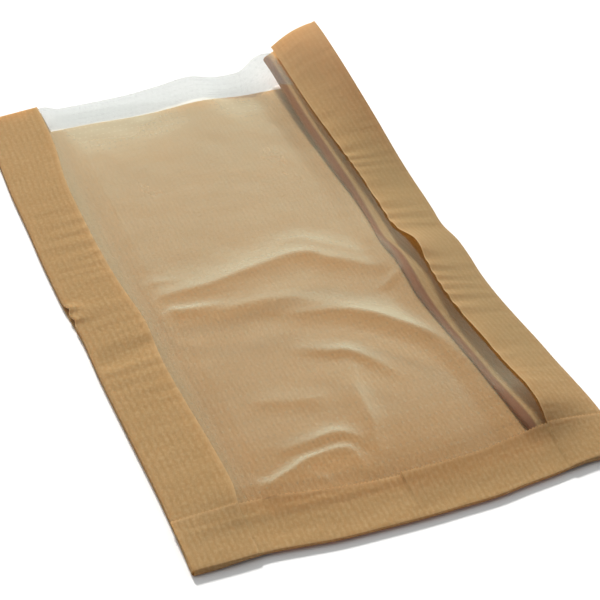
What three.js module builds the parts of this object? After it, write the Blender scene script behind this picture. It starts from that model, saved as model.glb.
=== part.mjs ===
// A flat, empty paper bread bag with a clear window, lying on its back.
// Units are millimetres. +X runs across the bag, +Y from its folded bottom to its mouth, +Z up.
// The origin is the bottom centre of the bag's box.
//
// One web of ribbed brown paper makes the back panel, both side gussets and the two front borders.
// Its tail is folded up over the front as a band. A strip of clear film lies under the borders
// and closes the front between them. Both sheets are drawn thicker than life, with a real gap
// between plies that touch on the bag.

import * as THREE from "three";

// ---- Sizes of the bag ----
const WIDTH = 210;
const LENGTH = 370;
const GUSSET_DEPTH = 35;
const BORDER_WIDTH = 30.5;
const BAND_WIDTH = 26;
const LIP = 20; // the back panel is cut this much shorter than the front at the mouth

// ---- Sheets and the spaces between plies ----
const PAPER = 0.5;
const FILM = 0.3;
const GAP = 0.4;
const CLOSED_FOLD = (PAPER + GAP) / 2;
const GLUED_FOLD = (PAPER + FILM + 2 * GAP) / 2;
const FILM_BELOW_BORDER = PAPER / 2 + GAP + FILM / 2;

// ---- How the empty bag stands open ----
const FILM_HEIGHT = 6.2; // of the window above the table
const FILM_SWELL = 2.2; // more height about the middle of the window
const SWELL_AT = -30;
const SWELL_WIDTH = 95;
const SWELL_LENGTH = 230;
const FILM_DROP = 18; // the film comes from its height at the borders to its own level over this width
const FILM_HELD = 2; // it starts to do so when it is this far past the gusset's inner fold
const LEFT_EDGE_RISE = 2.4; // of the left border's inner edge above its fold
const MOUTH_LIFT = 28; // of the right front fold at the mouth, where the gusset stands open
const LIFT_START = 38; // the lift begins here and grows towards the mouth
const MOUTH_INSET = 3; // the lifted fold leans inward by this much at the mouth
const RIGHT_TILT = 15; // degrees that the right border stands up from its gusset along the bag
const MOUTH_TILT = 4.5; // degrees that it stands up from it at the mouth
const TILT_FALLS_FROM = -60;
const WAIST = 2.5; // the right side is drawn in by this much at the kink
const WAIST_AT = -35;
const WAIST_REACH = 45;
const PRESSED_TO = -LENGTH / 2 + 10; // flat below here, where the band holds the plies down
const FREE_FROM = -LENGTH / 2 + 40;
const FILM_SHORT = 1; // the film ends this far above the bottom fold

// ---- Fineness ----
const ARC_STEPS = 3;
const BORDER_STEPS = 4; // the film reaches one step of this under each border
const PLY_STEPS = 3;
const BACK_STEPS = 12;
const LOW_ROWS = 8;
const HIGH_ROWS = 20;
const BAND_ROWS = 4;
const BAND_ARC_ROWS = 5;
const FILM_COLUMNS = 20;

const LEFT = -1;
const RIGHT = 1;
const MOUTH_Y = LENGTH / 2;

// Heights of the plies' middles where the bag is pressed flat: the back panel, two gusset plies,
// the film, the border and the band. Plies at a closed fold are twice its radius apart.
const BACK_Z = PAPER / 2;
const BACK_FOLD_Z = BACK_Z + CLOSED_FOLD;
const FRONT_FOLD_Z = BACK_Z + 4 * CLOSED_FOLD + GLUED_FOLD;
const BORDER_Z = FRONT_FOLD_Z + GLUED_FOLD;
const BAND_Z = BORDER_Z + PAPER + GAP;

const radians = THREE.MathUtils.degToRad;
const lerp = THREE.MathUtils.lerp;
const smooth = (t) => THREE.MathUtils.smoothstep(t, 0, 1);
const bell = (t) => Math.exp(-t * t);
const spread = (from, to, steps) => Array.from({ length: steps + 1 }, (_, i) => lerp(from, to, i / steps));

// ---- Shape along the bag ----

// 0 where the band presses the plies flat, 1 where they are free.
const freedom = (y) => smooth((y - PRESSED_TO) / (FREE_FROM - PRESSED_TO));

// 0 along the lower bag, 1 at the lifted right corner of the mouth.
const opening = (y) => smooth((y - LIFT_START) / (MOUTH_Y - LIFT_START));

// Centres of the front fold and the back fold of one side, as (x, z).
function frontFold(side, y) {
  const fold = backFold(side, y);
  fold.y = FRONT_FOLD_Z;
  if (side === RIGHT) {
    fold.x -= MOUTH_INSET * opening(y) ** 2;
    fold.y += MOUTH_LIFT * opening(y);
  }
  return fold;
}

function backFold(side, y) {
  const waist = side === RIGHT ? WAIST * bell((y - WAIST_AT) / WAIST_REACH) : 0;
  const x = WIDTH / 2 - PAPER / 2 - GLUED_FOLD - waist;
  return new THREE.Vector2(side * x, BACK_FOLD_Z);
}

// The gusset's inner fold lies a gusset's depth from both outer folds.
function innerFold(side, y) {
  const front = frontFold(side, y);
  const back = backFold(side, y);
  const apart = new THREE.Vector2().subVectors(front, back);
  const middle = new THREE.Vector2().addVectors(front, back).multiplyScalar(0.5);
  middle.y -= (GLUED_FOLD - CLOSED_FOLD) / 2;
  const inward = Math.sqrt(GUSSET_DEPTH ** 2 - apart.lengthSq() / 4);
  const across = new THREE.Vector2(-side * apart.y, side * apart.x).normalize();
  return middle.addScaledVector(across, inward);
}

// Angle of a front border above the level, measured from its outer fold to its inner edge.
function borderTilt(side, y) {
  if (side === LEFT) return Math.asin(LEFT_EDGE_RISE / BORDER_WIDTH) * freedom(y);
  const front = frontFold(side, y);
  const inner = innerFold(side, y);
  const rise = front.y - inner.y - (GLUED_FOLD + CLOSED_FOLD);
  const gussetSlope = Math.atan2(rise, front.x - inner.x);
  const fallen = smooth((y - TILT_FALLS_FROM) / (MOUTH_Y - TILT_FALLS_FROM));
  const standing = radians(lerp(RIGHT_TILT, MOUTH_TILT, fallen)) * freedom(y);
  return standing - gussetSlope;
}

// A point of a front border, at a share of its width from its inner edge to its outer fold.
function borderPoint(side, y, share) {
  const fold = frontFold(side, y);
  const tilt = borderTilt(side, y);
  const reach = (BORDER_WIDTH - GLUED_FOLD) * (1 - share);
  const along = new THREE.Vector2(-side * Math.cos(tilt), Math.sin(tilt));
  const upward = new THREE.Vector2(side * Math.sin(tilt), Math.cos(tilt));
  return fold.addScaledVector(along, reach).addScaledVector(upward, GLUED_FOLD);
}

// ---- The paper web across the bag ----

// Points of an arc about a fold, from one angle to another.
function arc(centre, radius, from, to) {
  return spread(from, to, ARC_STEPS).map(
    (a) => new THREE.Vector2(centre.x + radius * Math.cos(a), centre.y + radius * Math.sin(a)),
  );
}

// Points strictly between two others, on the straight ply that joins them.
function between(from, to, steps) {
  return spread(0, 1, steps)
    .slice(1, -1)
    .map((t) => from.clone().lerp(to, t));
}

// One side of the web, from the border's inner edge round its three folds to the back panel.
function sideOfWeb(side, y) {
  const front = frontFold(side, y);
  const inner = innerFold(side, y);
  const back = backFold(side, y);
  const quarter = Math.PI / 2;
  const turned = (angle) => (side === RIGHT ? angle : Math.PI - angle);
  const slope = (a, b) => Math.atan2(b.y - a.y, side * (b.x - a.x));
  const round = (centre, radius, from, to) => arc(centre, radius, turned(from), turned(to));

  const border = spread(0, 1, BORDER_STEPS).map((share) => borderPoint(side, y, share));
  const frontSlope = slope(inner, front);
  const backSlope = slope(inner, back);
  const frontArc = round(front, GLUED_FOLD, quarter - borderTilt(side, y), frontSlope - quarter);
  const innerArc = round(inner, CLOSED_FOLD, quarter + frontSlope, 3 * quarter + backSlope);
  const backArc = round(back, CLOSED_FOLD, quarter + backSlope, -quarter);
  return [
    ...border.slice(0, -1),
    ...frontArc,
    ...between(frontArc.at(-1), innerArc[0], PLY_STEPS),
    ...innerArc,
    ...between(innerArc.at(-1), backArc[0], PLY_STEPS),
    ...backArc,
  ];
}

// The whole web at one height of the bag, from the left border's inner edge to the right one's.
function acrossWeb(y) {
  const left = sideOfWeb(LEFT, y);
  const right = sideOfWeb(RIGHT, y).reverse();
  return [...left, ...between(left.at(-1), right[0], BACK_STEPS), ...right];
}

const SIDE_POINTS = sideOfWeb(LEFT, 0).length;

// How far the mouth's cut lies below the front's edge: nothing on the borders and the gussets'
// front plies, then more along the back plies, and the whole lip on the back panel.
function cutBack(column, columns) {
  const fromEdge = Math.min(column, columns - 1 - column);
  const innerFoldAt = BORDER_STEPS + 2 * ARC_STEPS + PLY_STEPS;
  return LIP * THREE.MathUtils.clamp((fromEdge - innerFoldAt) / (SIDE_POINTS - 1 - innerFoldAt), 0, 1);
}

// ---- The front seen from above, which the band lies on ----

function frontHeight(x, y) {
  const side = x < 0 ? LEFT : RIGHT;
  const edge = borderPoint(side, y, 0);
  const fold = borderPoint(side, y, 1);
  if (side * x < side * edge.x) return Math.max(filmHeight(x, y), edge.y);
  return lerp(edge.y, fold.y, Math.min(1, (x - edge.x) / (fold.x - edge.x)));
}

// ---- The window ----

// Height of the film between the borders: level, swelling at its middle, and drawn up or down
// to each border's inner edge.
function filmHeight(x, y) {
  const left = borderPoint(LEFT, y, 0);
  const right = borderPoint(RIGHT, y, 0);
  const swell = FILM_SWELL * bell(x / SWELL_WIDTH) * bell((y - SWELL_AT) / SWELL_LENGTH);
  const level = lerp(BORDER_Z - FILM_BELOW_BORDER, FILM_HEIGHT + swell, freedom(y));
  const nearLeft = 1 - smooth((x - innerFold(LEFT, y).x - FILM_HELD) / FILM_DROP);
  const nearRight = 1 - smooth((innerFold(RIGHT, y).x - FILM_HELD - x) / FILM_DROP);
  const atLeft = left.y - FILM_BELOW_BORDER;
  const atRight = right.y - FILM_BELOW_BORDER;
  return level + (atLeft - level) * nearLeft + (atRight - level) * nearRight;
}

// The film at one height of the bag, from under the right border to under the left one. It runs
// the way that the web's borders run, so that its faces split like theirs where the two overlap.
function acrossFilm(y) {
  const tucked = (side, share) => {
    const tilt = borderTilt(side, y);
    const point = borderPoint(side, y, share);
    point.x -= side * Math.sin(tilt) * FILM_BELOW_BORDER;
    point.y -= Math.cos(tilt) * FILM_BELOW_BORDER;
    return point;
  };
  const share = 1 / BORDER_STEPS;
  const from = tucked(LEFT, 0);
  const to = tucked(RIGHT, 0);
  const span = between(from, to, FILM_COLUMNS);
  for (const point of span) point.y = filmHeight(point.x, y);
  return [tucked(LEFT, share), from, ...span, to, tucked(RIGHT, share)].reverse();
}

// ---- From a grid of points to a closed solid ----

// Thickens a sheet. Its points are in rows, and a missing point is null. A face stands where
// all four corners are there, and a wall along every open side.
function thicken(rows, thickness) {
  const columns = rows[0].length;
  const at = (r, c) => (rows[r] && rows[r][c]) || null;
  const step = (r, c, dr, dc) => {
    const ahead = at(r + dr, c + dc) || at(r, c);
    const behind = at(r - dr, c - dc) || at(r, c);
    return new THREE.Vector3().subVectors(ahead, behind);
  };
  const positions = [];
  const upper = rows.map(() => Array(columns).fill(-1));
  const lower = rows.map(() => Array(columns).fill(-1));
  for (let r = 0; r < rows.length; r += 1) {
    for (let c = 0; c < columns; c += 1) {
      if (!at(r, c)) continue;
      const normal = step(r, c, 0, 1).cross(step(r, c, 1, 0)).normalize();
      for (const [grid, half] of [[upper, thickness / 2], [lower, -thickness / 2]]) {
        grid[r][c] = positions.length / 3;
        positions.push(...at(r, c).clone().addScaledVector(normal, half).toArray());
      }
    }
  }
  const faces = [];
  const quad = (a, b, c, d) => faces.push(a, b, c, a, c, d);
  const filled = (r, c) => Boolean(at(r, c) && at(r + 1, c) && at(r, c + 1) && at(r + 1, c + 1));
  for (let r = 0; r + 1 < rows.length; r += 1) {
    for (let c = 0; c + 1 < columns; c += 1) {
      if (!filled(r, c)) continue;
      quad(upper[r][c], upper[r][c + 1], upper[r + 1][c + 1], upper[r + 1][c]);
      quad(lower[r][c], lower[r + 1][c], lower[r + 1][c + 1], lower[r][c + 1]);
      if (!filled(r - 1, c)) quad(upper[r][c + 1], upper[r][c], lower[r][c], lower[r][c + 1]);
      if (!filled(r + 1, c)) {
        quad(upper[r + 1][c], upper[r + 1][c + 1], lower[r + 1][c + 1], lower[r + 1][c]);
      }
      if (!filled(r, c - 1)) quad(upper[r][c], upper[r + 1][c], lower[r + 1][c], lower[r][c]);
      if (!filled(r, c + 1)) {
        quad(upper[r + 1][c + 1], upper[r][c + 1], lower[r][c + 1], lower[r + 1][c + 1]);
      }
    }
  }
  const geometry = new THREE.BufferGeometry();
  geometry.setAttribute("position", new THREE.Float32BufferAttribute(positions, 3));
  geometry.setIndex(faces);
  geometry.computeVertexNormals();
  return geometry;
}

// ---- The two sheets ----

// The bottom fold is a half turn, from the back panel up to the band.
const TURN = (BAND_Z - BACK_Z) / 2;
const TURN_Y = -LENGTH / 2 + TURN + PAPER / 2;
const bandHeight = (x, y) => frontHeight(x, y) + PAPER + GAP;

function paperRows() {
  const heights = [
    ...spread(TURN_Y, FREE_FROM, LOW_ROWS).slice(0, -1),
    ...spread(FREE_FROM, MOUTH_Y, HIGH_ROWS),
  ];
  const rows = heights.map((y) => {
    const columns = acrossWeb(y).length;
    const share = (y - TURN_Y) / (MOUTH_Y - TURN_Y);
    return Array.from({ length: columns }, (_, c) => {
      const cutY = y - share * cutBack(c, columns);
      const point = acrossWeb(cutY)[c];
      return new THREE.Vector3(point.x, cutY, point.y);
    });
  });
  const first = rows[0];
  const onBack = (c) => c >= SIDE_POINTS - 1 && c <= first.length - SIDE_POINTS;
  const tail = [];
  for (const angle of spread(-Math.PI / 2, -1.5 * Math.PI, BAND_ARC_ROWS).slice(1)) {
    const y = TURN_Y + TURN * Math.cos(angle);
    const z = BACK_Z + TURN * (1 + Math.sin(angle));
    tail.push(first.map((p, c) => (onBack(c) ? new THREE.Vector3(p.x, y, z) : null)));
  }
  const bandEnd = -LENGTH / 2 + BAND_WIDTH;
  for (const y of spread(TURN_Y, bandEnd, BAND_ROWS).slice(1)) {
    tail.push(first.map((p, c) => (onBack(c) ? new THREE.Vector3(p.x, y, bandHeight(p.x, y)) : null)));
  }
  return [...tail.reverse(), ...rows];
}

function filmRows() {
  const heights = [
    ...spread(TURN_Y + FILM_SHORT, FREE_FROM, LOW_ROWS).slice(0, -1),
    ...spread(FREE_FROM, MOUTH_Y, HIGH_ROWS),
  ];
  return heights.map((y) => acrossFilm(y).map((p) => new THREE.Vector3(p.x, y, p.y)));
}

function sheet(name, rows, thickness, look) {
  const mesh = new THREE.Mesh(thicken(rows, thickness), new THREE.MeshStandardMaterial(look));
  mesh.name = name;
  return mesh;
}

const bag = new THREE.Group();
bag.add(sheet("paper_body", paperRows(), PAPER, { color: 0xb98f5e, roughness: 0.8, metalness: 0 }));
bag.add(
  sheet("window_film", filmRows(), FILM, {
    color: 0xe8ece8,
    roughness: 0.12,
    metalness: 0,
    transparent: true,
    opacity: 0.3,
  }),
);

export default bag;
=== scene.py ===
"""The looks of a flat, empty paper bread bag with a clear window, lying on its back.

Shapes are worked out in millimetres and become metres when a mesh is filled. +X runs across the bag,
+Y from its folded bottom to its mouth and +Z up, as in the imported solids.
"""

from __future__ import annotations

import logging
import math
from dataclasses import dataclass, field
from enum import Enum
from functools import cached_property

import bmesh
import bpy
from mathutils import Matrix, Vector, geometry, noise


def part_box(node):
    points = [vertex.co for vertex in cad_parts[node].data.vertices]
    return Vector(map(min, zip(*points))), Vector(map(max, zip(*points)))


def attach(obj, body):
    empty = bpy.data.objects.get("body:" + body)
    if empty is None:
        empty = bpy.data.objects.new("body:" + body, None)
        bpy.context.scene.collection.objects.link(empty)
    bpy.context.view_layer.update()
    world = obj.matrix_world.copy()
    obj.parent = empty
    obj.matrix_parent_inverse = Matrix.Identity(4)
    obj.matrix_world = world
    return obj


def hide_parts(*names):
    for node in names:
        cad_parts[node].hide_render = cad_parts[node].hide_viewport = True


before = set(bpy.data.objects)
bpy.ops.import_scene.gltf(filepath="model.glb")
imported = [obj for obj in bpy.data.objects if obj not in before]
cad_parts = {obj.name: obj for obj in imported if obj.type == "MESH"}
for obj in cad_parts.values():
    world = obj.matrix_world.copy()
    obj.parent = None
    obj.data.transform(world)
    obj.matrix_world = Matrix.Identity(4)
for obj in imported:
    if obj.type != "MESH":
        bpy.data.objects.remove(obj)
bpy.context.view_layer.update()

MM = 0.001
SHARP_ANGLE = math.radians(50)
log = logging.getLogger("bread_bag")

Point = tuple[float, float]


# ---- Curves that several shapes share ----


def lerp(start: float, end: float, share: float) -> float:
    """The value at a share of the way from start to end."""
    return start + (end - start) * share


def clamp(value: float) -> float:
    """The value, kept between 0 and 1."""
    return max(0.0, min(1.0, value))


def smooth(value: float) -> float:
    """An even ramp from 0 to 1, level at both ends."""
    t = clamp(value)
    return t * t * (3.0 - 2.0 * t)


def bell(value: float) -> float:
    """A round bump of height 1 about 0."""
    return math.exp(-value * value)


def along(points: tuple[Point, ...], place: float) -> float:
    """A smooth curve through a few given points.

    Args:
        points: (place, value) pairs in rising order of place.
        place: Where the value is wanted.

    Returns:
        The value there, level beyond both ends.
    """
    if place <= points[0][0]:
        return points[0][1]
    if place >= points[-1][0]:
        return points[-1][1]
    after = next(i for i, point in enumerate(points) if point[0] > place)
    (start, low), (end, high) = points[after - 1], points[after]

    def slope(index: int) -> float:
        """How steep the curve is at one of the points.

        Args:
            index: The point's number.

        Returns:
            The slope.
        """
        if index in (0, len(points) - 1):
            return 0.0
        (before, under), (beyond, over) = points[index - 1], points[index + 1]
        return (over - under) / (beyond - before)

    size = end - start
    t = (place - start) / size
    bend = t * (1 - t) * ((1 - t) * slope(after - 1) - t * slope(after)) * size
    return lerp(low, high, smooth(t)) + bend


def wander(across: float, lengthwise: float, seed: float) -> float:
    """A steady random value from -1 to 1 that changes smoothly over a sheet."""
    return noise.noise(Vector((across, lengthwise, seed)))


# ---- The bag's folds ----


class Side(Enum):
    """A side of the bag, by the sign of X."""

    LEFT = -1
    RIGHT = 1


class Panel(Enum):
    """A strip of the paper web between two folds, or the fold itself."""

    BORDER = "border"
    FRONT_FOLD = "front_fold"
    FRONT_PLY = "front_ply"
    INNER_FOLD = "inner_fold"
    BACK_PLY = "back_ply"
    BACK_FOLD = "back_fold"
    BACK = "back"


@dataclass(frozen=True)
class Folds:
    """One side of the bag at one place along it: its fold centres as (x, z), and how the plies lie.

    tilt is how steeply the border rises inwards, in radians, and border its width. pinched is how far a dent
    pushes the front fold, and loop is the inner fold's radius.
    """

    side: Side
    y: float
    front: Vector
    inner: Vector
    back: Vector
    tilt: float
    border: float
    pinched: Vector
    loop: float


@dataclass(frozen=True)
class BagForm:
    """The shape of the whole bag, from the same folds as its solids but with thin plies.

    Sizes are in millimetres and tilts in degrees.
    """

    width: float
    length: float
    gusset_depth: float = 35.0
    border_width: float = 30.5
    band_width: float = 26.0
    lip: float = 20.0
    radius: float = 0.42
    back_z: float = 0.12
    bottom_lift: float = 1.1
    widest_loop: float = 2.2
    free_front_z: float = 2.7
    left_edge_rise: float = 2.6
    mouth_lift: float = 28.0
    lift_start: float = 38.0
    mouth_inset: float = 3.0
    right_tilt: float = 15.0
    mouth_tilt: float = 5.0
    tilt_falls_from: float = -60.0
    tilt_start: float = 4.0
    tilt_rises_over: float = 50.0
    turn_back: float = 1.4
    pressed_length: float = 10.0
    freed_over: float = 30.0
    bow_fades_over: float = 60.0
    under_loop: float = 0.3
    # The borders' relief: ripple lengths, the gap at the right inner edge, the curl at the right end of the
    # mouth and the crease across the left border.
    right_ripple: float = 12.4
    left_ripple: float = 10.5
    gap_rise: float = 2.2
    gap_place: float = -17.0
    gap_width: float = 11.0
    curl_rise: float = 2.2
    curl_start: float = 130.0
    curl_length: float = 55.0
    crease_depth: float = 0.9
    crease_ends: Point = (-43.0, -40.0)
    crease_width: float = 9.0
    deepest_dip: float = 0.6
    calm_at_fold: float = 0.15
    # The dent in the left side: each nick as (y, width, depth), and which way it pushes the fold.
    nicks: tuple[tuple[float, float, float], ...] = ((1.5, 2.6, 1.0), (-7.5, 2.4, 0.8))
    nick_shift: Point = (-1.5, 1.3)
    # Waves of the back panel's free edge, as (rise, x, width), and where along the bag they start.
    mouth_waves: tuple[tuple[float, float, float], ...] = (
        (2.6, 21.0, 22.0), (1.0, 66.0, 14.0), (0.9, -46.0, 16.0),
    )
    waves_start: float = 70.0
    # How far the right gusset's inner fold stands up from its closed place, as (y, rise).
    inner_lift: tuple[Point, ...] = (
        (-170, 0.0), (-150, 2.6), (-115, 0.8), (-75, 0.6), (-55, 1.5), (-35, 2.8), (-15, 2.4), (5, 0.8),
        (25, 0.2), (45, 0.7), (65, 1.2), (90, 0.6), (125, 0.0),
    )
    # Outward shifts of the fold at each side, and inward ones of the left border's inner edge, as (y, shift).
    left_outer: tuple[Point, ...] = (
        (-185, 0.0), (-165, -0.6), (-133, -1.0), (-90, -0.5), (-50, -0.1), (-22, -0.5), (6, 0.9), (46, 1.1),
        (74, 0.5), (110, 0.2), (141, -0.9), (185, -1.0),
    )
    left_inner: tuple[Point, ...] = (
        (-160, 0.6), (-141, -1.4), (-60, 0.0), (-21, -1.3), (34, 0.6), (96, 1.0), (150, -2.6), (185, -3.4),
    )
    right_outer: tuple[Point, ...] = (
        (-185, 0.9), (-150, 0.9), (-130, 0.0), (-115, -1.0), (-100, -1.6), (-85, -2.6), (-70, -3.5),
        (-55, -3.9), (-40, -3.5), (-25, -2.1), (-10, -1.5), (5, -3.1), (20, -1.7), (35, -0.5), (50, 0.2),
        (65, 0.4), (95, 0.4), (125, -0.3), (155, -0.4), (185, 0.1),
    )
    # How far the bottom edge runs up or down the bag, as (x, shift).
    bottom_bow: tuple[Point, ...] = (
        (-105, 0.9), (-85, 0.5), (-70, 0.5), (-55, -1.2), (-40, -2.9), (-20, -3.6), (0, -4.0), (20, -3.7),
        (36, -3.3), (50, -1.6), (66, 0.0), (85, 2.4), (105, 3.2),
    )

    @property
    def bottom(self) -> float:
        """The place of the bottom fold along the bag."""
        return -self.length / 2

    @property
    def turn_start(self) -> float:
        """The place along the bag where the web starts to turn up round the bottom."""
        return self.bottom + self.turn_back

    @property
    def mouth(self) -> float:
        """The place of the borders' cut edge at the mouth."""
        return self.length / 2

    def freedom(self, y: float) -> float:
        """0 where the band presses the plies flat, 1 where they are free."""
        return smooth((y - self.bottom - self.pressed_length) / self.freed_over)

    def opening(self, y: float) -> float:
        """0 along the lower bag, 1 at the lifted right corner of the mouth."""
        return smooth((y - self.lift_start) / (self.mouth - self.lift_start))

    def bow(self, x: float, y: float) -> float:
        """How far a point near the bottom moves along the bag, so that the bottom edge runs in a bow."""
        return along(self.bottom_bow, x) * (1.0 - smooth((y - self.bottom) / self.bow_fades_over))

    def pinch(self, y: float) -> float:
        """How deep the dent in the left side is at one place along the bag."""
        return sum(depth * bell((y - place) / width) for place, width, depth in self.nicks)

    def folds(self, side: Side, y: float) -> Folds:
        """Works out the folds of one side at one place along the bag.

        Args:
            side: Which side of the bag.
            y: The place along the bag.

        Returns:
            The centres of its three folds, and how its plies and its border lie.
        """
        free = self.freedom(y)
        outward = along(self.left_outer if side is Side.LEFT else self.right_outer, y)
        reach = self.width / 2 - self.radius + outward
        back = Vector((reach, self.back_z + self.radius))
        closed = self.back_z + 5 * self.radius
        front = Vector((reach, lerp(closed, self.free_front_z, free)))
        border = self.border_width
        if side is Side.RIGHT:
            front.x -= self.mouth_inset * self.opening(y) ** 2
            front.y += self.mouth_lift * self.opening(y)
        else:
            border -= along(self.left_inner, y)
        apart = front - back
        middle = (front + back) / 2
        inward = math.sqrt(self.gusset_depth**2 - apart.length_squared / 4)
        inner = middle + Vector((-apart.y, apart.x)).normalized() * inward
        loop = self.radius
        if side is Side.RIGHT:
            top = inner.y + along(self.inner_lift, y) * free + self.radius
            loop = max(loop, min(self.widest_loop, (top - self.under_loop) / 2) * free)
            inner.y = top - loop
        if side is Side.LEFT:
            tilt = math.asin(self.left_edge_rise / self.border_width) * free
        else:
            slope = math.atan2(front.y - self.radius - top, front.x - inner.x)
            fallen = smooth((y - self.tilt_falls_from) / (self.mouth - self.tilt_falls_from))
            risen = smooth((y - self.bottom - self.tilt_start) / self.tilt_rises_over)
            tilt = math.radians(lerp(self.right_tilt, self.mouth_tilt, fallen)) * risen - slope
        pinched = Vector(self.nick_shift) * (self.pinch(y) if side is Side.LEFT else 0.0)
        return Folds(side, y, front + pinched, inner, back, tilt, border, pinched, loop)

    def border_relief(self, side: Side, share: float, y: float) -> float:
        """How far a border stands up out of its smooth form.

        Args:
            side: The border's side of the bag.
            share: How far across it, from its inner edge to its fold.
            y: The place along the bag.

        Returns:
            The rise in millimetres, which dies out at the fold and under the band.
        """
        across = share * self.border_width
        rise = 0.35 * wander(across / 55.0, y / 45.0, 1.3)
        rise += 0.10 * wander(across / 40.0, y / 5.5, 2.7 + side.value)
        rise += self.right_relief(share, y) if side is Side.RIGHT else self.left_relief(share, y)
        return max(rise, -self.deepest_dip) * self.freedom(y) * smooth((1.0 - share) / self.calm_at_fold)

    def right_relief(self, share: float, y: float) -> float:
        """Cross ripples of the right border, the gap at its inner edge and the curl at its mouth.

        Args:
            share: How far across it, from its inner edge to its fold.
            y: The place along the bag.

        Returns:
            The rise in millimetres.
        """
        inner = 1.0 - share
        drift = 2.2 * wander(y / 40.0, 0.0, 5.5)
        uneven = (0.7 + 0.9 * wander(y / 26.0, 2.0, 6.5)) * smooth((128.0 - y) / 30.0)
        wave = math.sin(2 * math.pi * (y / self.right_ripple + drift + 0.35 * inner))
        gap = self.gap_rise * bell((y - self.gap_place) / self.gap_width) * inner**3
        curl = self.curl_rise * math.sin(math.pi * share) * smooth((y - self.curl_start) / self.curl_length)
        return (0.12 + 0.30 * inner**3) * wave * uneven + gap + curl

    def left_relief(self, share: float, y: float) -> float:
        """Cross ripples of the left border, its crease and the soft fold beside the dent.

        Args:
            share: How far across it, from its inner edge to its fold.
            y: The place along the bag.

        Returns:
            The rise in millimetres.
        """
        inner = 1.0 - share
        wave = math.sin(2 * math.pi * (y / self.left_ripple + 1.6 * wander(y / 30.0, 1.0, 8.5)))
        ripples = (0.05 + 0.08 * inner) * wave * (bell((y - 50.0) / 45.0) + bell((y + 55.0) / 28.0))
        off_crease = abs(y - lerp(*self.crease_ends, inner)) / self.crease_width
        beside_dent = 0.6 * bell((y + 3.0) / 6.0) * share
        return ripples - self.crease_depth * max(0.0, 1.0 - off_crease) + beside_dent

    def border_point(self, folds: Folds, share: float, rise: float = 0.0) -> Vector:
        """A point over, on or under the smooth form of a border, as (x, z) for the right side.

        Args:
            folds: The side's folds.
            share: How far across the border, from its inner edge at 0 to its fold at 1.
            rise: How far above the smooth form the point lies.

        Returns:
            The point.
        """
        reach = (folds.border - self.radius) * (1 - share)
        lean = Vector((-math.cos(folds.tilt), math.sin(folds.tilt))) * reach
        upward = Vector((math.sin(folds.tilt), math.cos(folds.tilt))) * (self.radius + rise)
        return folds.front - folds.pinched * smooth((1 - share) / 0.3) + lean + upward

    def section(self, folds: Folds, panel: Panel, share: float) -> Vector:
        """A point of one side's plies as (x, z), for the right side.

        Args:
            folds: The side's folds.
            panel: The strip that the point is on.
            share: How far across the strip it is, from the border's side.

        Returns:
            The point.
        """
        quarter = math.pi / 2
        front_slope = math.atan2(folds.front.y - folds.inner.y, folds.front.x - folds.inner.x)
        back_slope = math.atan2(folds.back.y - folds.inner.y, folds.back.x - folds.inner.x)

        def turn(centre: Vector, radius: float, start: float, end: float, part: float) -> Vector:
            """A point part of the way round a fold, from one angle to another."""
            angle = lerp(start, end, part)
            return centre + Vector((math.cos(angle), math.sin(angle))) * radius

        front_arc = (folds.front, self.radius, quarter - folds.tilt, front_slope - quarter)
        inner_arc = (folds.inner, folds.loop, quarter + front_slope, 3 * quarter + back_slope)
        back_arc = (folds.back, self.radius, quarter + back_slope, -quarter)
        if panel is Panel.BORDER:
            return self.border_point(folds, share, self.border_relief(folds.side, share, folds.y))
        if panel is Panel.FRONT_FOLD:
            return turn(*front_arc, share)
        if panel is Panel.FRONT_PLY:
            return turn(*front_arc, 1.0).lerp(turn(*inner_arc, 0.0), share)
        if panel is Panel.INNER_FOLD:
            return turn(*inner_arc, share)
        if panel is Panel.BACK_PLY:
            return turn(*inner_arc, 1.0).lerp(turn(*back_arc, 0.0), share)
        return turn(*back_arc, share)

    def bottom_rise(self, x: float, y: float) -> float:
        """How far the middle of the bottom fold stands off the table."""
        from_fold = 1.0 - smooth((y - self.turn_start) / 14.0)
        return self.bottom_lift * from_fold * smooth((96.0 - abs(x)) / 16.0)

    def back_height(self, x: float, y: float) -> float:
        """Height of the back panel, which lifts in shallow waves at its free edge.

        Args:
            x: The place across the bag.
            y: The place along the bag.

        Returns:
            The height in millimetres.
        """
        near_mouth = smooth((y - self.waves_start) / (self.mouth - self.waves_start))
        wave = sum(rise * bell((x - place) / width) for rise, place, width in self.mouth_waves)
        uneven = 0.5 * (1.0 + wander(x / 40.0, y / 35.0, 4.4))
        soft = uneven * self.freedom(y) * smooth((88.0 - abs(x)) / 20.0)
        return self.back_z + near_mouth * wave + soft + self.bottom_rise(x, y)


# ---- The film between the borders ----


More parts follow.
